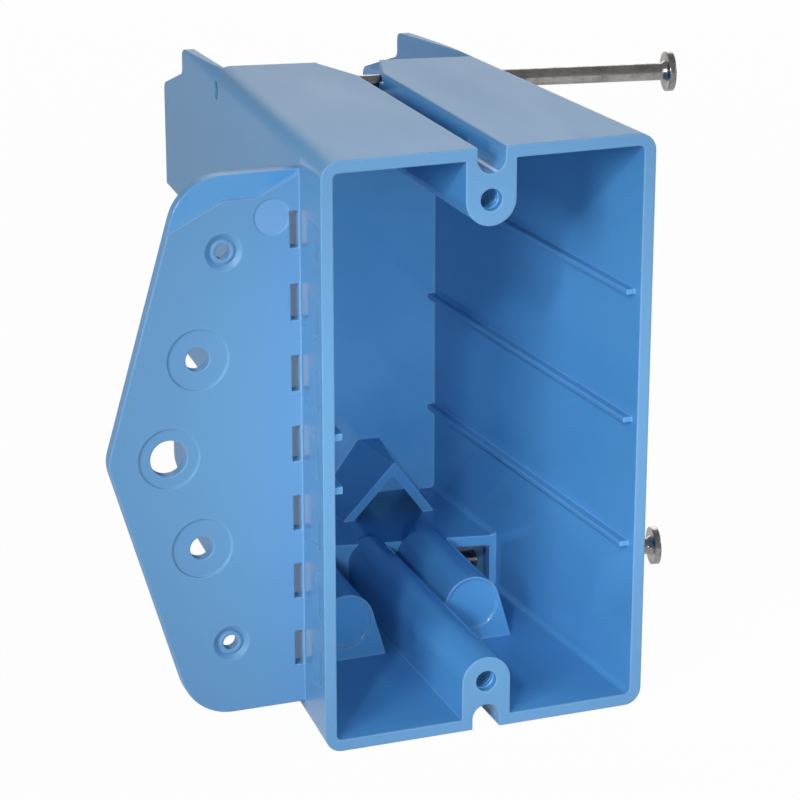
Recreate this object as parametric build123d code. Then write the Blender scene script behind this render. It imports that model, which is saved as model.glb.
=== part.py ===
from build123d import *
import math
import os

# New work outlet box: a moulded single gang box with a nailing bracket on its left side wall, and two
# nails that cross it behind its top and bottom walls. Millimetres.
# The origin is the middle of the two device screw holes, on the plane of the front rim. The opening
# faces -Y, +X is to the right of a person who looks into the box, and +Z is up.

# Device screws: the box is as high as they need
SCREW_SPACING = 83.34
SCREW_TO_EDGE = 8.58
SCREW_HOLE = 3.7
SCREW_HOLE_DEPTH = 14.0
RIDGE_WIDTH = 8.6

# Box
BOX_WIDTH = 57.15
BOX_HEIGHT = SCREW_SPACING + 2 * SCREW_TO_EDGE
BOX_DEPTH = 80.0
WALL = 2.0
BACK_WALL = 2.0
SIDE_DRAFT = 3.7
CORNER_RADIUS = 3.0
INNER_CORNER_RADIUS = 1.0

# Groove down the middle of the top and bottom walls: shallow over the screw hole, deep behind it
GROOVE_WIDTH = 4.9
GROOVE_DEPTH = 4.3
GROOVE_SHALLOW_LENGTH = 16.0
NOTCH_WIDTH = 11.6

# Nails
NAIL_LENGTH = 82.55
NAIL_SHANK = 3.15
NAIL_HEAD = 7.2
NAIL_HEAD_THICKNESS = 1.2
NAIL_POINT = 6.0
NAIL_TILT = 9.7
NAIL_BACK = 66.2
NAIL_POINT_INSIDE = 0.8
NAIL_ROOF_GAP = 0.3
NAIL_HOLE_CLEARANCE = 0.1

# Nail pockets, behind the step in the top and bottom walls
STEP_TO_NAIL = 7.7
NAIL_TO_BACK_EDGE = 1.6
NAIL_ROOM = 8.25
ROOF_WALL = 2.0

# Side wall ears and skirts, from the front rim
EAR_BACK = 97.5
EAR_DROP = 2.0
EAR_HEIGHT_BACK = 4.6
EAR_RADIUS = 3.0
SKIRT_BACK = 114.0
SKIRT_DROP = 11.95
SKIRT_RADIUS = 2.0
TAB_NOTCH_LOW = 11.6
TAB_NOTCH_HEIGHT = 7.0

# Ribs
RIGHT_RIB_HEIGHT = 1.5
RIGHT_RIB_THICKNESS = 0.9
RIGHT_RIB_PITCH = 22.2
RIGHT_RIB_MIDDLE = 1.0
RIGHT_RIB_FRONT = 2.0
LEFT_RIB_HEIGHT = 1.6
LEFT_RIB_THICKNESS = 1.2
LEFT_RIB_PITCH = 9.1
LEFT_RIB_FRONT = 1.0

# Cable ramps: hollow ridges on the floor, each with a flat round front
RAMP_FRONT = 30.5
RAMP_RIGHT_X = 9.7
RAMP_LEFT_X = -14.2
RAMP_RADIUS = 5.2
RAMP_RISE = 7.0
RAMP_BASE_WIDTH = 15.4
RAMP_WALL = 2.0
RAMP_TO_HOOD = 3.2
DISC_DIAMETER = 9.4
DISC_DEPTH = 0.35

# Cable hoods: gables over the cable entries in the back wall, wider towards the back
HOOD_RIGHT_X = 7.8
HOOD_LEFT_X = -12.4
HOOD_HEIGHT = 11.7
HOOD_WIDTH = 17.0
HOOD_TOP_WIDTH_BACK = 4.3
HOOD_WALL = 1.8
HOOD_LENGTH = 14.5
HOOD_LEAN = 3.0
KNOCKOUT_WEB = 0.8

# Window beside the lower nail
WINDOW_WIDTH = 9.5
WINDOW_BAR = 1.1

# Bracket
BRACKET_SETBACK = 12.7
BRACKET_THICKNESS = 2.3
BRACKET_DROP = 4.05
BRACKET_REACH = 32.85
BRACKET_EDGE_ANGLE = 16.2
BRACKET_CORNER_RADIUS = 9.0
BRACKET_TIP_RADIUS = 6.0
BRACKET_STEP_WIDTH = 4.1
BRACKET_STEP_DEPTH = 0.35
BRACKET_STEP_START = 7.0
BRACKET_STEP_END = 12.8
BRACKET_STEP_RADIUS = 3.0
NAILING_HOLE = 2.6
NAILING_HOLE_OUT = 12.85
NAILING_HOLE_SPACING = 67.4
NAILING_RIM = 3.9
NAILING_RIM_DROP = 0.3
NAILING_DISH = 6.2
NAILING_DISH_DEPTH = 0.8
SCREW_PAD = 10.2
SCREW_PAD_HOLE = 4.0
SCREW_PAD_OUT = 17.45
SCREW_PAD_SPACING = 32.4
SCREW_PAD_DEPTH = 0.3
CENTRE_HOLE = 6.2
CENTRE_HOLE_OUT = 22.65
EJECTOR_MARK = 6.0
EJECTOR_MARK_OUT = 4.7
EJECTOR_MARK_HEIGHT = 38.7
EJECTOR_MARK_DEPTH = 0.12
SLOT_WIDTH = 1.4
SLOT_LENGTH = 6.1
SLOT_PITCH = 12.1
SLOT_COUNT = 7
SLOT_TO_WALL = 0.3

# Worked out from the sizes above
HALF_WIDTH = BOX_WIDTH / 2
HALF_HEIGHT = BOX_HEIGHT / 2
DRAFT = math.tan(math.radians(SIDE_DRAFT))
NAIL_SLOPE = math.tan(math.radians(NAIL_TILT))
NAIL_HEIGHT = HALF_HEIGHT - WALL - NAIL_ROOF_GAP - NAIL_SHANK / 2
STEP_OUTSIDE = NAIL_BACK - STEP_TO_NAIL
BACK_EDGE = NAIL_BACK + NAIL_TO_BACK_EDGE
DEEP_HALF = HALF_HEIGHT - WALL - NAIL_ROOM - ROOF_WALL
HOOD_FRONT = BOX_DEPTH - HOOD_LENGTH
BRACKET_ROOT = HALF_WIDTH - BRACKET_SETBACK * DRAFT
REACH = 10.0
SIDES = (1, -1)


def wall_x(y, inset=0.0):
    """Half width of the drafted box at depth y, less an inset."""
    return HALF_WIDTH - inset - y * DRAFT


def slanted_y(x, middle):
    """Depth at x of a line parallel to the nails that crosses the middle of the box at a given depth."""
    return middle - x * NAIL_SLOPE


def meet_wall(side, middle, inset):
    """Depth at which a line parallel to the nails meets a side wall."""
    return (middle - side * (HALF_WIDTH - inset) * NAIL_SLOPE) / (1 - side * DRAFT * NAIL_SLOPE)


def plan_prism(front, left_back, right_back, inset, low, high):
    """Upright prism between the drafted side planes, from a straight front to a straight back."""
    outline = Polygon(
        (-wall_x(front, inset), front),
        (wall_x(front, inset), front),
        (wall_x(right_back, inset), right_back),
        (-wall_x(left_back, inset), left_back),
        align=None,
    )
    return extrude(Pos(0, 0, low) * outline, high - low)


def slanted_prism(front, middle_back, inset, low, high):
    """The same prism with its back parallel to the nails."""
    return plan_prism(front, meet_wall(-1, middle_back, inset), meet_wall(1, middle_back, inset), inset, low, high)


def round_long_edges(prism, radius):
    """Rounds the four edges that run from front to back."""
    edges = prism.edges().filter_by(lambda e: abs(e.tangent_at(0.5).Y) > 0.9)
    return fillet(edges, radius)


def along_y(face, front, length):
    """Pushes a face drawn in X and Z from depth front towards the back."""
    return extrude(Plane.XZ.offset(-front) * face, length, dir=(0, 1, 0))


def envelope():
    """The drafted outside of the box with its rounded corners, carried back past the skirts."""
    block = plan_prism(0, SKIRT_BACK + REACH, SKIRT_BACK + REACH, 0, -HALF_HEIGHT, HALF_HEIGHT)
    return round_long_edges(block, CORNER_RADIUS)


def side_outline():
    """Side view of the side walls: ears at the top and bottom, and skirts with a notch between."""
    deck = HALF_HEIGHT
    ear_low = HALF_HEIGHT - EAR_DROP - EAR_HEIGHT_BACK
    skirt_high = HALF_HEIGHT - SKIRT_DROP
    notch_high = TAB_NOTCH_LOW + TAB_NOTCH_HEIGHT
    back_face = BOX_DEPTH + BACK_WALL
    upper = [
        (0, deck),
        (NAIL_BACK, deck),
        (EAR_BACK, deck - EAR_DROP),
        (EAR_BACK, ear_low),
        (SKIRT_BACK, skirt_high),
        (SKIRT_BACK, notch_high),
        (back_face, notch_high),
        (back_face, TAB_NOTCH_LOW),
        (SKIRT_BACK, TAB_NOTCH_LOW),
    ]
    lower = [(y, -z) for y, z in reversed(upper)]
    face = Polygon(*upper, *lower, align=None)
    ear_corners = face.vertices().filter_by(lambda v: abs(v.X - EAR_BACK) < 0.01)
    face = fillet(ear_corners, EAR_RADIUS / 2)
    skirt_corners = face.vertices().filter_by(lambda v: abs(v.X - SKIRT_BACK) < 0.01 and abs(v.Y) > notch_high + 1)
    return fillet(skirt_corners, SKIRT_RADIUS)


def side_walls():
    """Both side walls: the side view cut out of two drafted slabs."""
    slabs = plan_prism(0, SKIRT_BACK, SKIRT_BACK, 0, -HALF_HEIGHT, HALF_HEIGHT)
    slabs -= plan_prism(-REACH, SKIRT_BACK + REACH, SKIRT_BACK + REACH, WALL, -HALF_HEIGHT, HALF_HEIGHT)
    sheet = extrude(Plane.YZ * side_outline(), HALF_WIDTH, both=True)
    return slabs & sheet


def shell():
    """The box itself: a full height front part, a lower deep part, and a pocket for each nail."""
    body = slanted_prism(0, BACK_EDGE, 0, -HALF_HEIGHT, HALF_HEIGHT)
    back_face = BOX_DEPTH + BACK_WALL
    body += plan_prism(0, back_face, back_face, 0, -DEEP_HALF - ROOF_WALL, DEEP_HALF + ROOF_WALL)
    body += side_walls()
    inner_height = HALF_HEIGHT - WALL
    front_room = slanted_prism(-REACH, STEP_OUTSIDE - WALL, WALL, -inner_height, inner_height)
    body -= round_long_edges(front_room, INNER_CORNER_RADIUS)
    deep_room = plan_prism(-REACH, BOX_DEPTH, BOX_DEPTH, WALL, -DEEP_HALF, DEEP_HALF)
    body -= round_long_edges(deep_room, INNER_CORNER_RADIUS)
    pocket_back = SKIRT_BACK + REACH
    for side in SIDES:
        low, high = sorted((side * (DEEP_HALF + ROOF_WALL), side * inner_height))
        behind_step = plan_prism(0, pocket_back, pocket_back, WALL, low, high)
        behind_step -= slanted_prism(-REACH, STEP_OUTSIDE, 0, low, high)
        body -= behind_step
    return body & envelope()


def middle_ridge(side):
    """Round nosed ridge inside the box: it holds the screw hole in front, and the deep groove behind."""
    centre = SCREW_SPACING / 2
    top = HALF_HEIGHT - WALL / 2
    face = Pos(0, centre) * Circle(RIDGE_WIDTH / 2)
    face += Pos(0, (centre + top) / 2) * Rectangle(RIDGE_WIDTH, top - centre)
    return mirror_if_low(along_y(face, 0, STEP_OUTSIDE), side)


def groove_face(centre):
    """Round floored channel, open at the outside of the box."""
    top = HALF_HEIGHT + REACH
    face = Pos(0, centre) * Circle(GROOVE_WIDTH / 2)
    return face + Pos(0, (centre + top) / 2) * Rectangle(GROOVE_WIDTH, top - centre)


def groove_cut(side):
    """Shallow and deep parts of the groove, with a flared notch where the nail crosses it."""
    shallow = groove_face(HALF_HEIGHT - GROOVE_DEPTH + GROOVE_WIDTH / 2)
    cut = along_y(shallow, -REACH, REACH + STEP_OUTSIDE + WALL)
    deep = groove_face(SCREW_SPACING / 2)
    cut += along_y(deep, GROOVE_SHALLOW_LENGTH, STEP_OUTSIDE + WALL - GROOVE_SHALLOW_LENGTH)
    notch_front = STEP_OUTSIDE - WALL
    notch = Polygon(
        (-GROOVE_WIDTH / 2, notch_front),
        (GROOVE_WIDTH / 2, notch_front),
        (NOTCH_WIDTH / 2, slanted_y(0, BACK_EDGE)),
        (NOTCH_WIDTH / 2, BACK_EDGE + REACH),
        (-NOTCH_WIDTH / 2, BACK_EDGE + REACH),
        (-NOTCH_WIDTH / 2, slanted_y(0, BACK_EDGE)),
        align=None,
    )
    cut += extrude(Pos(0, 0, HALF_HEIGHT - WALL - 0.01) * notch, REACH)
    return mirror_if_low(cut, side)


def mirror_if_low(solid, side):
    """Keeps a piece built at the top, or mirrors it to the bottom."""
    return solid if side > 0 else mirror(solid, Plane.XY)


def inside(solid):
    """Keeps what is within the side walls."""
    back = SKIRT_BACK + REACH
    return solid & plan_prism(0, back, back, WALL / 2, -HALF_HEIGHT, HALF_HEIGHT)


def screw_hole(side):
    """Blind hole for the device screw."""
    face = Pos(0, SCREW_SPACING / 2) * Circle(SCREW_HOLE / 2)
    return mirror_if_low(along_y(face, -REACH, REACH + SCREW_HOLE_DEPTH), side)


def side_ribs():
    """Three stiffening ribs on the right wall and two on the left."""
    room = plan_prism(-REACH, BOX_DEPTH + BACK_WALL / 2, BOX_DEPTH + BACK_WALL / 2, WALL / 2, -DEEP_HALF, DEEP_HALF)
    ribs = []
    for step in (-1, 0, 1):
        middle = RIGHT_RIB_MIDDLE + step * RIGHT_RIB_PITCH
        low = middle - RIGHT_RIB_THICKNESS / 2
        ring = room_band(RIGHT_RIB_FRONT, WALL / 2, WALL + RIGHT_RIB_HEIGHT, low, low + RIGHT_RIB_THICKNESS)
        ribs.append(ring & half_space(1))
    for step in SIDES:
        middle = step * LEFT_RIB_PITCH / 2
        low = middle - LEFT_RIB_THICKNESS / 2
        ring = room_band(LEFT_RIB_FRONT, WALL / 2, WALL + LEFT_RIB_HEIGHT, low, low + LEFT_RIB_THICKNESS)
        ribs.append(ring & half_space(-1))
    return [rib & room for rib in ribs]


def room_band(front, outer_inset, inner_inset, low, high):
    """Two strips that follow the side walls between two insets."""
    back = BOX_DEPTH + BACK_WALL / 2
    band = plan_prism(front, back, back, outer_inset, low, high)
    return band - plan_prism(front - REACH, back + REACH, back + REACH, inner_inset, low, high)


def half_space(side):
    """A block that holds everything to the right or left of the middle."""
    span = 2 * (SKIRT_BACK + REACH)
    return Pos(side * span / 2, 0, 0) * Box(span, span, span)


def ramp_face(radius, base_width, centre, base):
    """Arch on flared legs, drawn for the floor."""
    right = tangent_point(radius, base_width / 2, base - centre)
    legs = Polygon(
        (-base_width / 2, base),
        (base_width / 2, base),
        (right[0], centre + right[1]),
        (-right[0], centre + right[1]),
        align=None,
    )
    return legs + Pos(0, centre) * Circle(radius)


def tangent_point(radius, x, z):
    """Upper point where the line from (x, z) touches a circle about the origin."""
    reach = math.hypot(x, z)
    direction = math.atan2(z, x) + math.acos(radius / reach)
    return radius * math.cos(direction), radius * math.sin(direction)


def ramp(x):
    """Hollow ridge on the floor, open into the nail pocket behind."""
    centre = -(HALF_HEIGHT - WALL) + RAMP_RISE
    base = -(HALF_HEIGHT - WALL / 2)
    face = Pos(x, 0) * ramp_face(RAMP_RADIUS, RAMP_BASE_WIDTH, centre, base)
    return inside(along_y(face, RAMP_FRONT, HOOD_FRONT - RAMP_TO_HOOD - RAMP_FRONT))


def ramp_core(x):
    """Room inside the ridge."""
    centre = -(HALF_HEIGHT - WALL) + RAMP_RISE
    base = -(HALF_HEIGHT - WALL)
    inner = RAMP_RADIUS - RAMP_WALL
    face = Pos(x, 0) * ramp_face(inner, RAMP_BASE_WIDTH - 2.6 * RAMP_WALL, centre, base)
    front = RAMP_FRONT + RAMP_WALL
    return along_y(face, front, HOOD_FRONT - RAMP_TO_HOOD - RAMP_WALL - front)


def ramp_disc(x):
    """Shallow round mark on the front of the ridge."""
    centre = -(HALF_HEIGHT - WALL) + RAMP_RISE
    return along_y(Pos(x, centre) * Circle(DISC_DIAMETER / 2), RAMP_FRONT - REACH, REACH + DISC_DEPTH)


def hood_face(x, y, top_width, wall, sunk):
    """Flat topped gable on the deep floor at depth y, set in by a wall and sunk into the floor."""
    slope = math.atan2(HOOD_HEIGHT, HOOD_WIDTH / 2)
    height = HOOD_HEIGHT - wall / math.cos(slope)
    spread = top_width / 2 + (height + sunk) / math.tan(slope)
    outline = Polygon(
        (x - spread, -DEEP_HALF - sunk),
        (x + spread, -DEEP_HALF - sunk),
        (x + top_width / 2, -DEEP_HALF + height),
        (x - top_width / 2, -DEEP_HALF + height),
        align=None,
    )
    return Plane.XZ.offset(-y) * outline


def hood_flare(x, wall, sunk):
    """Solid from the nearly sharp gable in front to the flat topped one at the back wall."""
    sharp = hood_face(x, HOOD_FRONT, HOOD_TOP_WIDTH_BACK / 10, wall, sunk)
    flat = hood_face(x, BOX_DEPTH, HOOD_TOP_WIDTH_BACK, wall, sunk)
    return loft([sharp, flat], ruled=True)


def hood(x):
    """Gabled hood that leans over the room in front of it."""
    solid = hood_flare(x, 0, HOOD_WALL / 2)
    solid += extrude(hood_face(x, BOX_DEPTH, HOOD_TOP_WIDTH_BACK, 0, HOOD_WALL / 2), BACK_WALL / 2, dir=(0, 1, 0))
    lean = Polygon(
        (HOOD_FRONT - REACH, -DEEP_HALF - REACH),
        (HOOD_FRONT + HOOD_LEAN * (1 + REACH / HOOD_HEIGHT), -DEEP_HALF - REACH),
        (HOOD_FRONT, -DEEP_HALF + HOOD_HEIGHT),
        (HOOD_FRONT - REACH, -DEEP_HALF + HOOD_HEIGHT),
        align=None,
    )
    return inside(solid - extrude(Plane.YZ * lean, HALF_WIDTH, both=True))


def hood_core(x):
    """Cable way under the hood, closed by a thin knockout in the back wall."""
    solid = hood_flare(x, HOOD_WALL, 0)
    sharp = hood_face(x, HOOD_FRONT, HOOD_TOP_WIDTH_BACK / 10, HOOD_WALL, 0)
    solid += extrude(sharp, REACH, dir=(0, -1, 0))
    flat = hood_face(x, BOX_DEPTH, HOOD_TOP_WIDTH_BACK, HOOD_WALL, 0)
    solid += extrude(flat, BACK_WALL - KNOCKOUT_WEB, dir=(0, 1, 0))
    back = SKIRT_BACK + REACH
    return solid & plan_prism(0, back, back, WALL, -HALF_HEIGHT, HALF_HEIGHT)


def window_cut():
    """Opening in the lower step on the right, in front of the nail."""
    low = -(HALF_HEIGHT - WALL)
    high = -(DEEP_HALF + ROOF_WALL)
    front = STEP_OUTSIDE - WALL - REACH
    back = STEP_OUTSIDE + WALL
    right = wall_x(slanted_y(HALF_WIDTH, STEP_OUTSIDE), WALL) - WINDOW_BAR
    middle = right - WINDOW_WIDTH / 2
    return Pos(middle, (front + back) / 2, (low + high) / 2) * Box(WINDOW_WIDTH, back - front, high - low)


def nail_axis(side):
    """Plane at the nail's tip, which is inside the left wall, looking along the nail towards its head."""
    depth = meet_wall(-1, NAIL_BACK, NAIL_POINT_INSIDE)
    tip = (-wall_x(depth, NAIL_POINT_INSIDE), depth, side * NAIL_HEIGHT)
    along = (math.cos(math.radians(NAIL_TILT)), -math.sin(math.radians(NAIL_TILT)), 0)
    return Plane(origin=tip, x_dir=(0, 0, 1), z_dir=along)


def nail_hole(side):
    """Hole through both side walls for a nail."""
    return extrude(nail_axis(side) * Circle(NAIL_SHANK / 2 + NAIL_HOLE_CLEARANCE), NAIL_LENGTH, both=True)


def bracket_outline():
    """Front view of the bracket: square at the box, and pointed away from it."""
    root = -wall_x(BRACKET_SETBACK + BRACKET_THICKNESS, WALL / 2)
    half = HALF_HEIGHT - BRACKET_DROP
    point = -BRACKET_ROOT - BRACKET_REACH
    shoulder = point + half * math.tan(math.radians(BRACKET_EDGE_ANGLE))
    face = Polygon(
        (root, half),
        (root, -half),
        (shoulder, -half),
        (point, 0),
        (shoulder, half),
        align=None,
    )
    shoulders = face.vertices().filter_by(lambda v: abs(v.X - shoulder) < 0.01)
    face = fillet(shoulders, BRACKET_CORNER_RADIUS)
    tip = face.vertices().sort_by(Axis.X)[0]
    return fillet(tip, BRACKET_TIP_RADIUS)


def bracket():
    """Nailing bracket: a plate with a slightly lower band along its top."""
    plate = along_y(bracket_outline(), BRACKET_SETBACK, BRACKET_THICKNESS)
    return plate - along_y(lower_band(), BRACKET_SETBACK - REACH, REACH + BRACKET_STEP_DEPTH)


def lower_band():
    """Front view of the lower band: it falls from the box's wall, runs level, and falls to the edge."""
    half = HALF_HEIGHT - BRACKET_DROP
    level = half - BRACKET_STEP_WIDTH
    start = -BRACKET_ROOT - BRACKET_STEP_START
    end = -BRACKET_ROOT - BRACKET_STEP_END
    face = Polygon(
        (-BRACKET_ROOT, level + BRACKET_STEP_START / 2),
        (-BRACKET_ROOT, half + REACH),
        (end - REACH, half + REACH),
        (end - REACH, level - REACH / 2),
        (end, level),
        (start, level),
        align=None,
    )
    bends = face.vertices().filter_by(lambda v: abs(v.Y - level) < 0.01)
    return fillet(bends, BRACKET_STEP_RADIUS)


def bracket_spot(out, height, diameter):
    """Round spot on the bracket, at a distance from the box's wall."""
    return Pos(-BRACKET_ROOT - out, height) * Circle(diameter / 2)


def nailing_dish(height):
    """Cone shaped dish with a rim left standing round the hole."""
    middle = (-BRACKET_ROOT - NAILING_HOLE_OUT, BRACKET_SETBACK + NAILING_DISH_DEPTH / 2, height)
    cone = Cone(NAILING_RIM / 2, NAILING_DISH / 2, NAILING_DISH_DEPTH)
    dish = Pos(*middle) * Rot(90, 0, 0) * cone
    rim = bracket_spot(NAILING_HOLE_OUT, height, NAILING_RIM)
    return dish - along_y(rim, BRACKET_SETBACK + NAILING_RIM_DROP, REACH)


def bracket_holes():
    """Every hole, dish, pad and slot of the bracket."""
    front = BRACKET_SETBACK
    through = REACH + BRACKET_THICKNESS + REACH
    cuts = []
    for side in SIDES:
        nail_height = side * NAILING_HOLE_SPACING / 2
        cuts.append(along_y(bracket_spot(NAILING_HOLE_OUT, nail_height, NAILING_HOLE), front - REACH, through))
        cuts.append(nailing_dish(nail_height))
        pad_height = side * SCREW_PAD_SPACING / 2
        cuts.append(along_y(bracket_spot(SCREW_PAD_OUT, pad_height, SCREW_PAD_HOLE), front - REACH, through))
        pad = bracket_spot(SCREW_PAD_OUT, pad_height, SCREW_PAD)
        cuts.append(along_y(pad, front - REACH, REACH + SCREW_PAD_DEPTH))
    cuts.append(along_y(bracket_spot(CENTRE_HOLE_OUT, 0, CENTRE_HOLE), front - REACH, through))
    centre_pad = bracket_spot(CENTRE_HOLE_OUT, 0, SCREW_PAD)
    cuts.append(along_y(centre_pad, front - REACH, REACH + SCREW_PAD_DEPTH))
    mark = bracket_spot(EJECTOR_MARK_OUT, EJECTOR_MARK_HEIGHT, EJECTOR_MARK)
    cuts.append(along_y(mark, front - REACH, REACH + EJECTOR_MARK_DEPTH))
    slot_x = -wall_x(BRACKET_SETBACK) - SLOT_TO_WALL - SLOT_WIDTH / 2
    for index in range(SLOT_COUNT):
        z = (index - (SLOT_COUNT - 1) / 2) * SLOT_PITCH
        slot = Pos(slot_x, z) * Rectangle(SLOT_WIDTH, SLOT_LENGTH)
        cuts.append(along_y(slot, front - REACH, through))
    return cuts


def box_body():
    """The whole moulding."""
    body = shell()
    body -= window_cut()
    for x in (RAMP_RIGHT_X, RAMP_LEFT_X):
        body += ramp(x)
    for x in (HOOD_RIGHT_X, HOOD_LEFT_X):
        body += hood(x)
    for side in SIDES:
        body += middle_ridge(side)
    for x in (RAMP_RIGHT_X, RAMP_LEFT_X):
        body -= ramp_core(x)
        body -= ramp_disc(x)
    for x in (HOOD_RIGHT_X, HOOD_LEFT_X):
        body -= hood_core(x)
    for side in SIDES:
        body -= groove_cut(side)
        body -= screw_hole(side)
        body -= nail_hole(side)
    for rib in side_ribs():
        body += rib
    body += bracket()
    for cut in bracket_holes():
        body -= cut
    return body


def nail(side):
    """Common nail: a pointed shank and a flat round head."""
    radius = NAIL_SHANK / 2
    head_under = NAIL_LENGTH - NAIL_HEAD_THICKNESS
    outline = Polygon(
        (0, 0),
        (radius, NAIL_POINT),
        (radius, head_under - radius / 2),
        (radius * 1.3, head_under),
        (NAIL_HEAD / 2, head_under),
        (NAIL_HEAD / 2, NAIL_LENGTH),
        (0, NAIL_LENGTH),
        align=None,
    )
    body = revolve(Plane.XZ * outline, Axis.Z)
    return nail_axis(side).location * body


def main():
    os.makedirs("parts", exist_ok=True)
    export_step(box_body(), "parts/box_body.step")
    export_step(nail(1), "parts/upper_nail.step")
    export_step(nail(-1), "parts/lower_nail.step")


main()
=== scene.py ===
# %% [markdown]
# A new work outlet box, dressed for its portrait
#
# The solids of the box and of its two nails come ready made: they are the frame, in metres, with the
# middle of the two device screw holes at the origin, the opening towards -Y and +Z up. This lesson
# gives them their finishes, adds the small things that are too fine for the solids, and sets the
# camera, the floor and the light.

# %% Load the frame
import math
import bpy
import numpy as np
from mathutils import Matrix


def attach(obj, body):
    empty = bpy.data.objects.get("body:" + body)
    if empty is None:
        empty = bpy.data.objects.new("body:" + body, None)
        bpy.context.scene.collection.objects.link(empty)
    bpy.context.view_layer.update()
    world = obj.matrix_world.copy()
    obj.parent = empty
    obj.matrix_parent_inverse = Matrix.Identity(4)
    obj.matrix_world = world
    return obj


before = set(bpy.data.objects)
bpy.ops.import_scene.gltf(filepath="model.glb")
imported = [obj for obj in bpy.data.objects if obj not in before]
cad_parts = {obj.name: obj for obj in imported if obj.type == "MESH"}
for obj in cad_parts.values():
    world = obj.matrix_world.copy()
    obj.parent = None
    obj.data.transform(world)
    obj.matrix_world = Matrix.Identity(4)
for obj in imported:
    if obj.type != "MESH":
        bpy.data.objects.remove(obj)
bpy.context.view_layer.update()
print("nodes", sorted(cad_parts))

# %% Units and the sizes that the small pieces share with the solids
MM = 0.001
SCREW_HEIGHT = 83.34 / 2
SCREW_HOLE_RADIUS = 1.85
NAIL_TILT = math.radians(9.7)
UNDERSIDE = -50.25
HALF_WIDTH = 57.15 / 2
HALF_HEIGHT = 50.25
SIDE_DRAFT = math.tan(math.radians(3.7))
WALL = 2.0
BRACKET_FRONT = 12.7
BRACKET_STEP = 0.35
BAND_HEIGHT = 37.0
EJECTOR_MARK = (-32.45, 38.7, 3.0)

# %% [markdown]
# The camera
#
# A camera is worked out from the picture of a known thing. The front rim is 57.15 mm wide and the two
# screw holes are 83.34 mm apart, so the place, the turn and the lens that put the rim, the holes and the
# ears where the photograph has them could be found by least squares. It looks down by about 19 degrees
# and to the right by about 20. It has no shift, so the uprights converge a little more than in the
# photograph, whose maker kept them parallel.

# %% The camera's place and lens
CAMERA_PLACE = (-167.14, -407.17, 159.13)
CAMERA_TURN = 20.431
CAMERA_DIP = 18.939
LENS_IN_PIXELS = 2869.2
FRAME_PIXELS = 800
SENSOR = 36.0


def add_camera():
    """A plain perspective camera, aimed by a turn about Z and a dip below the horizon."""
    data = bpy.data.cameras.new("portrait_camera")
    data.sensor_width = SENSOR
    data.sensor_height = SENSOR
    data.sensor_fit = "HORIZONTAL"
    data.lens = LENS_IN_PIXELS / FRAME_PIXELS * SENSOR
    data.clip_start = 0.01
    camera = bpy.data.objects.new("portrait_camera", data)
    bpy.context.scene.collection.objects.link(camera)
    camera.location = [c * MM for c in CAMERA_PLACE]
    camera.rotation_euler = (math.radians(90 - CAMERA_DIP), 0, math.radians(-CAMERA_TURN))
    bpy.context.scene.camera = camera
    return camera


camera = add_camera()
print("lens", round(camera.data.lens, 1), "mm")

# %% [markdown]
# Shader maths as plain expressions
#
# A finish is a sum of masks: noise times a little, plus an edge. Written as nodes and links this takes a
# screenful, so a small class wraps a socket and gives it the operators that are used here. A Math node
# would turn a colour grey, so colours go through Mix nodes.


# %% A wrapped socket and a sheet of nodes
class Wire:
    """A socket that can be added, subtracted, multiplied and raised to a power."""

    def __init__(self, sheet, socket):
        self.sheet = sheet
        self.socket = socket

    def math(self, operation, other, swap=False):
        pair = (other, self) if swap else (self, other)
        return self.sheet.node("ShaderNodeMath", {"operation": operation}, {0: pair[0], 1: pair[1]})

    def __add__(self, other):
        return self.math("ADD", other)

    def __radd__(self, other):
        return self.math("ADD", other, swap=True)

    def __sub__(self, other):
        return self.math("SUBTRACT", other)

    def __rsub__(self, other):
        return self.math("SUBTRACT", other, swap=True)

    def __mul__(self, other):
        return self.math("MULTIPLY", other)

    def __rmul__(self, other):
        return self.math("MULTIPLY", other, swap=True)

    def __pow__(self, other):
        return self.math("POWER", other)

    def __lt__(self, other):
        return self.math("LESS_THAN", other)

    def __gt__(self, other):
        return self.math("GREATER_THAN", other)

    def size(self):
        """The value without its sign."""
        return self.math("ABSOLUTE", 0.0)


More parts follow.
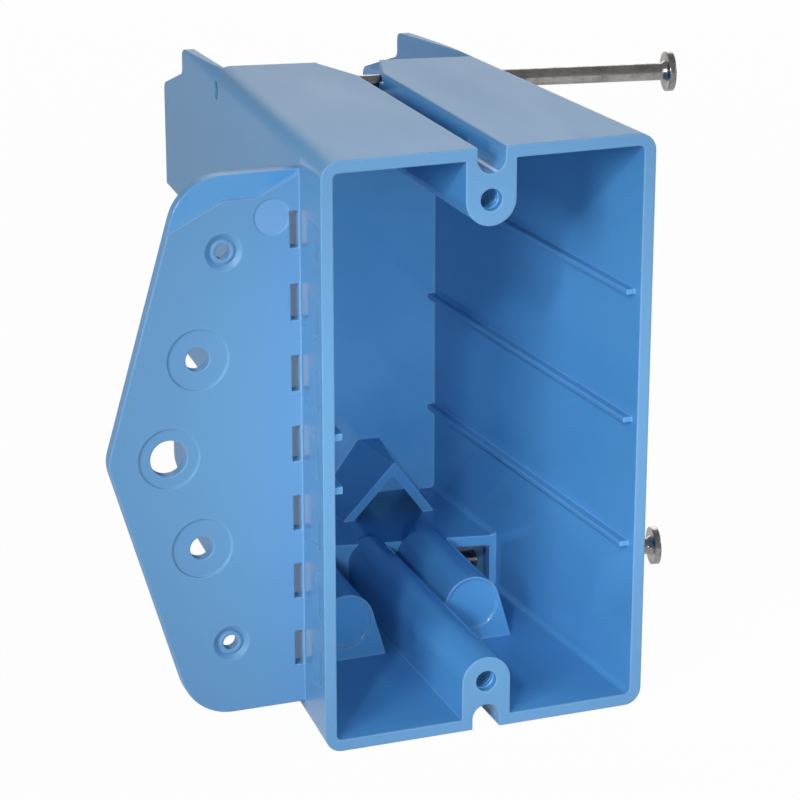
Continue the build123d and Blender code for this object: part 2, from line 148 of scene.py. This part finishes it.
class Sheet:
    """The node tree of one finish."""

    def __init__(self, name):
        self.material = bpy.data.materials.new(name)
        self.material.use_nodes = True
        self.tree = self.material.node_tree
        self.tree.nodes.clear()
        self.output = self.tree.nodes.new("ShaderNodeOutputMaterial")

    def plug(self, value, socket):
        if isinstance(value, Wire):
            self.tree.links.new(value.socket, socket)
        else:
            socket.default_value = value

    def node(self, kind, settings=None, inputs=None, output=0):
        """Adds a node: its settings first, then the values or wires of its sockets."""
        made = self.tree.nodes.new(kind)
        for key, value in (settings or {}).items():
            if key == "stops":
                self.set_stops(made.color_ramp, value)
            else:
                setattr(made, key, value)
        for key, value in (inputs or {}).items():
            self.plug(value, made.inputs[key])
        return Wire(self, made.outputs[output])

    def set_stops(self, ramp, stops):
        while len(ramp.elements) < len(stops):
            ramp.elements.new(0.5)
        for element, (place, grey) in zip(ramp.elements, stops):
            element.position = place
            element.color = (grey, grey, grey, 1)

    def place(self, scale=(1, 1, 1), turn=(0, 0, 0)):
        """Object coordinates, turned and scaled."""
        coordinates = self.node("ShaderNodeTexCoord", output="Object")
        inputs = {"Vector": coordinates, "Rotation": turn, "Scale": scale}
        return self.node("ShaderNodeMapping", {"vector_type": "POINT"}, inputs)

    def axes(self):
        """Object coordinates as three values, in millimetres."""
        coordinates = self.node("ShaderNodeTexCoord", output="Object")
        split = self.tree.nodes.new("ShaderNodeSeparateXYZ")
        self.plug(coordinates, split.inputs[0])
        return [Wire(self, split.outputs[axis]) * (1 / MM) for axis in range(3)]

    def noise(self, place, scale, detail=2.0, roughness=0.5):
        inputs = {"Vector": place, "Scale": scale, "Detail": detail, "Roughness": roughness}
        return self.node("ShaderNodeTexNoise", None, inputs)

    def ramp(self, factor, *stops):
        return self.node("ShaderNodeValToRGB", {"stops": stops}, {"Fac": factor})

    def blend(self, factor, first, second):
        """Mixes two colours."""
        made = self.tree.nodes.new("ShaderNodeMix")
        made.data_type = "RGBA"
        self.plug(factor, made.inputs[0])
        self.plug(first, made.inputs[6])
        self.plug(second, made.inputs[7])
        return Wire(self, made.outputs[2])

    def bump(self, height, strength, distance, normal=None):
        inputs = {"Height": height, "Strength": strength, "Distance": distance}
        if normal is not None:
            inputs["Normal"] = normal
        return self.node("ShaderNodeBump", None, inputs)

    def surface(self, **inputs):
        """Ends the sheet in a Principled shader. Underscores in a name stand for spaces."""
        made = self.tree.nodes.new("ShaderNodeBsdfPrincipled")
        for key, value in inputs.items():
            self.plug(value, made.inputs[key.replace("_", " ")])
        self.tree.links.new(made.outputs[0], self.output.inputs["Surface"])
        return self.material


print("shader helpers ready")

# %% [markdown]
# Blue moulded plastic
#
# The box is a rigid vinyl in a clear mid blue. Its mould has a polished core and a blasted cavity, so the
# inside walls mirror the hood and the ramps, and the outside is satin. The satin is painted a paler, greyer
# blue, a painted sheen for the white light that it reflects. Planes that follow the middle of each wall
# tell the two apart. The sunk band of the bracket is polished too. The strips of side wall in front of the
# bracket are half polished, and mirror its slots. The round mark of the ejector pin is paler.
#
# A mould leaves nothing quite even, so faint things are laid over each other: a broad cloud in the colour
# where the melt flowed, a fine orange peel in the skin, and streaks of gloss. The sharp edges of the
# solids would catch no light, so a Bevel node rounds them in the shading alone by 0.45 mm, as a real
# mould edge does. That would smooth a screw thread away, so the threads get a finish of their own with a
# much smaller rounding. The rounded edges are also painted a lighter blue: a painted highlight.

# %% The plastic
PLASTIC_BLUE = (0.086, 0.312, 0.63, 1)
PLASTIC_DEEP = (0.072, 0.278, 0.585, 1)
# Painted sheen: the satin outside is painted this paler, greyer blue in place of the white light it
# reflects.
PLASTIC_PAINTED_SHEEN = (0.105, 0.285, 0.53, 1)
# Painted highlight: the colour painted onto rounded edges where they would catch the light.
PLASTIC_EDGE_HIGHLIGHT = (0.20, 0.42, 0.72, 1)
PLASTIC_PALE = (0.17, 0.37, 0.66, 1)
EDGE_HIGHLIGHT_SHARE = 0.55
PALE_SHARE = 0.5
SATIN = 0.42
POLISHED = 0.06
SIDE_POLISHED = 0.2
GLOSS_STREAKS = 0.12
PLASTIC_IOR = 1.53
EDGE_ROUND = 0.45 * MM
FINE_ROUND = 0.03 * MM
BEVEL_SAMPLES = 6
RIM_EDGE = 0.2
NEAR_WALL = 0.25
NEAR_BRACKET = 1.0
STEP_BACK = 58.0
DEEP_HALF = 39.0


def polished_places(sheet):
    """One where the mould is polished: between the middles of the walls, and on the bracket's band."""
    x, y, z = sheet.axes()
    inside = (x.size() + SIDE_DRAFT * y) < HALF_WIDTH - WALL / 2
    inside = inside * (z.size() < HALF_HEIGHT - WALL / 2) * (y > RIM_EDGE)
    inside = inside * (1 - (y > STEP_BACK) * (z.size() > DEEP_HALF))
    band = (x < -HALF_WIDTH) * (y > BRACKET_FRONT + BRACKET_STEP / 2)
    band = band * (y < BRACKET_FRONT + 2 * BRACKET_STEP)
    return inside + band * (z.size() > BAND_HEIGHT)


def side_strips(sheet):
    """One on the outside of a side wall, from the rim to the front of the bracket."""
    x, y, z = sheet.axes()
    away = (x.size() + SIDE_DRAFT * y - HALF_WIDTH).size()
    return (away < NEAR_WALL) * (y < BRACKET_FRONT)


def ejector_mark(sheet):
    """One on the round mark of the ejector pin, from the distance to its middle."""
    x, y, z = sheet.axes()
    middle_x, middle_z, radius = EJECTOR_MARK
    away = ((x - middle_x) ** 2 + (z - middle_z) ** 2) < radius ** 2
    return away * (y > BRACKET_FRONT - NEAR_BRACKET) * (y < BRACKET_FRONT + NEAR_BRACKET)


def blue_plastic(name, edge_round):
    """Satin or polished blue: flow cloud, painted sheen and edge highlights, orange peel, streaked gloss.
    """
    sheet = Sheet(name)
    place = sheet.place()
    flow_place = sheet.place(scale=(1.0, 0.25, 1.0))
    cloud = sheet.ramp(sheet.noise(flow_place, 55.0, detail=3.0), (0.35, 0.0), (0.7, 1.0))
    peel = sheet.noise(place, 900.0, detail=2.0)
    wave = sheet.noise(place, 110.0, detail=1.0)
    rounded = sheet.node("ShaderNodeBevel", {"samples": BEVEL_SAMPLES}, {"Radius": edge_round})
    flat = sheet.node("ShaderNodeNewGeometry", output="Normal")
    pair = {0: rounded, 1: flat}
    facing = sheet.node("ShaderNodeVectorMath", {"operation": "DOT_PRODUCT"}, pair, output="Value")
    edge = sheet.ramp(1 - facing, (0.002, 0.0), (0.07, 1.0))
    polish = polished_places(sheet)
    body = sheet.blend(cloud, PLASTIC_BLUE, PLASTIC_DEEP)
    # Painted sheen: the satin parts take the paler blue, and the polished ones keep the cloud.
    body = sheet.blend(polish, PLASTIC_PAINTED_SHEEN, body)
    # Painted highlight: the rounded edges are painted lighter, as if catching the light.
    colour = sheet.blend(edge * EDGE_HIGHLIGHT_SHARE, body, PLASTIC_EDGE_HIGHLIGHT)
    colour = sheet.blend(ejector_mark(sheet) * PALE_SHARE, colour, PLASTIC_PALE)
    gloss = sheet.noise(flow_place, 140.0, detail=4.0, roughness=0.6)
    skin = sheet.bump(wave, 0.08, 0.0004, rounded)
    skin = sheet.bump(peel, 0.05, 0.0001, skin)
    rough = SATIN - polish * (SATIN - POLISHED)
    rough = rough - side_strips(sheet) * (SATIN - SIDE_POLISHED) + gloss * GLOSS_STREAKS
    return sheet.surface(Base_Color=colour, Roughness=rough, Normal=skin, IOR=PLASTIC_IOR)


plastic = blue_plastic("blue_plastic", EDGE_ROUND)
fine_plastic = blue_plastic("fine_blue_plastic", FINE_ROUND)
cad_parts["box_body"].data.materials.clear()
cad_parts["box_body"].data.materials.append(plastic)
print("finish", plastic.name)

# %% [markdown]
# Bright nail wire
#
# A common nail is drawn wire: grey, a little brown with oil, with fine scratches along its length. The
# scratches are noise squeezed along the nail, so the pattern is turned by the tilt of the nail first.

# %% The nail steel
STEEL_LIGHT = (0.46, 0.445, 0.425, 1)
STEEL_DARK = (0.17, 0.16, 0.15, 1)
STEEL_ROUGH = 0.14
OIL_ROUGH = 0.18


def nail_steel():
    """Drawn steel: scratches along the wire, a darker cloud of oil, and rounded edges."""
    sheet = Sheet("nail_steel")
    along = sheet.place(scale=(60.0, 2600.0, 2600.0), turn=(0, 0, NAIL_TILT))
    around = sheet.place()
    scratch = sheet.noise(along, 1.0, detail=3.0, roughness=0.6)
    cloud = sheet.noise(around, 320.0, detail=4.0, roughness=0.65)
    dirt = sheet.ramp(cloud, (0.42, 0.0), (0.68, 1.0))
    tone = sheet.ramp(scratch, (0.3, 0.25), (0.7, 0.9))
    colour = sheet.blend(dirt * 0.6 + tone * 0.3, STEEL_LIGHT, STEEL_DARK)
    rounded = sheet.node("ShaderNodeBevel", {"samples": BEVEL_SAMPLES}, {"Radius": EDGE_ROUND})
    skin = sheet.bump(scratch, 0.25, 0.00005, rounded)
    rough = STEEL_ROUGH + dirt * OIL_ROUGH
    return sheet.surface(Base_Color=colour, Metallic=1.0, Roughness=rough, Normal=skin)


steel = nail_steel()
for name in ("upper_nail", "lower_nail"):
    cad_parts[name].data.materials.clear()
    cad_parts[name].data.materials.append(steel)
print("finish", steel.name)

# %% [markdown]
# New surfaces from formulas
#
# Every piece added here is a grid of points worked out in one go by numpy, and one helper turns such a
# grid into a mesh. A tube joins its last column to its first one, and a cap closes each of its ends.


# %% A grid of points as a mesh
def grid_piece(name, points, material, tube=False):
    """points has the shape (rows, columns, 3). Rows run along u and columns along v."""
    rows, columns = points.shape[:2]
    index = np.arange(rows * columns).reshape(rows, columns)
    caps = [index[0, ::-1].tolist(), index[-1].tolist()] if tube else []
    if tube:
        index = np.hstack([index, index[:, :1]])
    faces = np.stack([index[:-1, :-1], index[:-1, 1:], index[1:, 1:], index[1:, :-1]], axis=-1)
    faces = faces.reshape(-1, 4).tolist()
    mesh = bpy.data.meshes.new(name)
    mesh.from_pydata(points.reshape(-1, 3).tolist(), [], faces + caps)
    mesh.polygons.foreach_set("use_smooth", np.arange(len(faces + caps)) < len(faces))
    mesh.materials.append(material)
    mesh.update()
    piece = bpy.data.objects.new(name, mesh)
    bpy.context.scene.collection.objects.link(piece)
    return piece


print("grid helper ready")

# %% [markdown]
# Screw threads
#
# A 6-32 screw cuts its own thread in the boss, and the photograph shows its first turns as a fine light
# line in each hole. One turn of a thread is a ridge on a helix: the section is a closed oval whose lower
# half is sunk in the wall of the hole.

# %% The thread ridge of a device screw hole
THREAD_PITCH = 25.4 / 32
THREAD_TURNS = 9
THREAD_RISE = 0.3
THREAD_FRONT = 1.0
THREAD_SIDES = 12
STEPS_PER_TURN = 40
SUNK = 0.05
SUNK_MORE = 0.15
FADE_ANGLE = 1.5
RIDGE_SHARE = 0.42


def screw_thread(name, height):
    """Along u the ridge goes round by THREAD_TURNS and back by the pitch each turn. Along v it is an
    oval: its upper half rises by THREAD_RISE and fades in and out, and its lower half is under the wall."""
    u = np.linspace(0, 2 * math.pi * THREAD_TURNS, STEPS_PER_TURN * THREAD_TURNS)[:, None]
    v = np.linspace(0, 2 * math.pi, THREAD_SIDES, endpoint=False)[None, :]
    fade = np.clip(np.minimum(u, u[-1] - u) / FADE_ANGLE, 0, 1)
    rise = THREAD_RISE * np.cos(v).clip(0, 1) * fade + SUNK_MORE * np.cos(v).clip(-1, 0) - SUNK
    radius = SCREW_HOLE_RADIUS - rise
    depth = THREAD_FRONT + THREAD_PITCH * (u / (2 * math.pi) - RIDGE_SHARE * np.sin(v))
    points = np.stack([radius * np.cos(u), depth, height + radius * np.sin(u)], axis=-1)
    piece = grid_piece(name, points * MM, fine_plastic, tube=True)
    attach(piece, "root")
    return piece


for name, height in (("upper_thread", SCREW_HEIGHT), ("lower_thread", -SCREW_HEIGHT)):
    thread = screw_thread(name, height)
    print(name, len(thread.data.polygons), "faces")

# %% [markdown]
# Floor, light and sky
#
# The photograph is a catalogue picture: white all round and with hardly a shadow. The floor is a large
# pale plane. To the camera it is almost plain white, and to reflections half white, so that the box
# stands in white as in the photograph and mirrors some of it. An even sky fills the shadows, and is
# plain white to the camera.
#
# Five lamps give the walls their different tones. A soft one on each side lights the outside walls, and a
# large one behind makes the top face shine where it is seen at a flat angle. Two small spots light the
# inside: a high one on the left, and one near the eye. Each is narrow, so that it leaves the rest alone.

# %% The floor
FLOOR_SIZE = 6.0
FLOOR_WHITE = (0.82, 0.82, 0.82, 1)
SEEN_GLOW = 0.97
MIRRORED_GLOW = 0.5


def add_floor():
    """A pale matte plane, mixed with a white glow for the camera and, less, for reflections."""
    sheet = Sheet("studio_floor")
    tree = sheet.tree
    matte = sheet.node("ShaderNodeBsdfDiffuse", None, {"Color": FLOOR_WHITE})
    glow = sheet.node("ShaderNodeEmission", None, {"Color": (1, 1, 1, 1), "Strength": 1.0})
    path = tree.nodes.new("ShaderNodeLightPath")
    seen = Wire(sheet, path.outputs["Is Camera Ray"]) + Wire(sheet, path.outputs["Is Transmission Ray"])
    mirrored = Wire(sheet, path.outputs["Is Glossy Ray"])
    share = seen * SEEN_GLOW + mirrored * MIRRORED_GLOW
    mix = sheet.node("ShaderNodeMixShader", None, {0: share, 1: matte, 2: glow})
    tree.links.new(mix.socket, sheet.output.inputs["Surface"])
    half = FLOOR_SIZE / 2
    u = np.linspace(-half, half, 3)
    points = np.stack(np.meshgrid(u, u, indexing="ij") + [np.full((3, 3), UNDERSIDE * MM)], axis=-1)
    floor = grid_piece("studio_floor", points[:, ::-1], sheet.material)
    return floor


floor = add_floor()
print("floor at", UNDERSIDE, "mm")

# %% The sky and the lamps
SKY_STRENGTH = 0.30


def add_sky():
    """An even sky of SKY_STRENGTH that is plain white to the camera."""
    world = bpy.data.worlds.new("studio_sky")
    bpy.context.scene.world = world
    world.use_nodes = True
    tree = world.node_tree
    tree.nodes.clear()
    output = tree.nodes.new("ShaderNodeOutputWorld")
    lit = tree.nodes.new("ShaderNodeBackground")
    lit.inputs["Color"].default_value = (1, 1, 1, 1)
    lit.inputs["Strength"].default_value = SKY_STRENGTH
    shown = tree.nodes.new("ShaderNodeBackground")
    shown.inputs["Color"].default_value = (1, 1, 1, 1)
    shown.inputs["Strength"].default_value = 1.0
    path = tree.nodes.new("ShaderNodeLightPath")
    mix = tree.nodes.new("ShaderNodeMixShader")
    tree.links.new(path.outputs["Is Camera Ray"], mix.inputs[0])
    tree.links.new(lit.outputs[0], mix.inputs[1])
    tree.links.new(shown.outputs[0], mix.inputs[2])
    tree.links.new(mix.outputs[0], output.inputs["Surface"])


def add_lamp(name, place, size, power):
    """A square area lamp that faces the middle of the box."""
    data = bpy.data.lights.new(name, "AREA")
    data.shape = "SQUARE"
    data.size = size
    data.energy = power
    lamp = bpy.data.objects.new(name, data)
    bpy.context.scene.collection.objects.link(lamp)
    lamp.location = place
    aim = -lamp.location.normalized()
    lamp.rotation_euler = aim.to_track_quat("-Z", "Y").to_euler()
    return lamp


def add_spot(name, place, radius, spread, power):
    """A soft round spot that faces the middle of the box and fades to nothing at its edge."""
    data = bpy.data.lights.new(name, "SPOT")
    data.energy = power
    data.shadow_soft_size = radius
    data.spot_size = math.radians(spread)
    data.spot_blend = 1.0
    spot = bpy.data.objects.new(name, data)
    bpy.context.scene.collection.objects.link(spot)
    spot.location = place
    spot.rotation_euler = (-spot.location).to_track_quat("-Z", "Y").to_euler()
    return spot


add_sky()
add_lamp("left_lamp", (-0.75, -0.55, 0.35), 0.3, 4.9)
add_lamp("right_lamp", (0.8, -0.3, 0.3), 0.3, 1.8)
add_lamp("back_panel", (0.36, 0.95, 0.36), 0.8, 3.2)
add_spot("high_spot", (-0.45, -0.6, 0.5), 0.04, 9.5, 13.0)
add_spot("eye_spot", (-0.2, -0.9, 0.12), 0.04, 9.5, 19.0)
bpy.context.scene.view_settings.view_transform = "Standard"
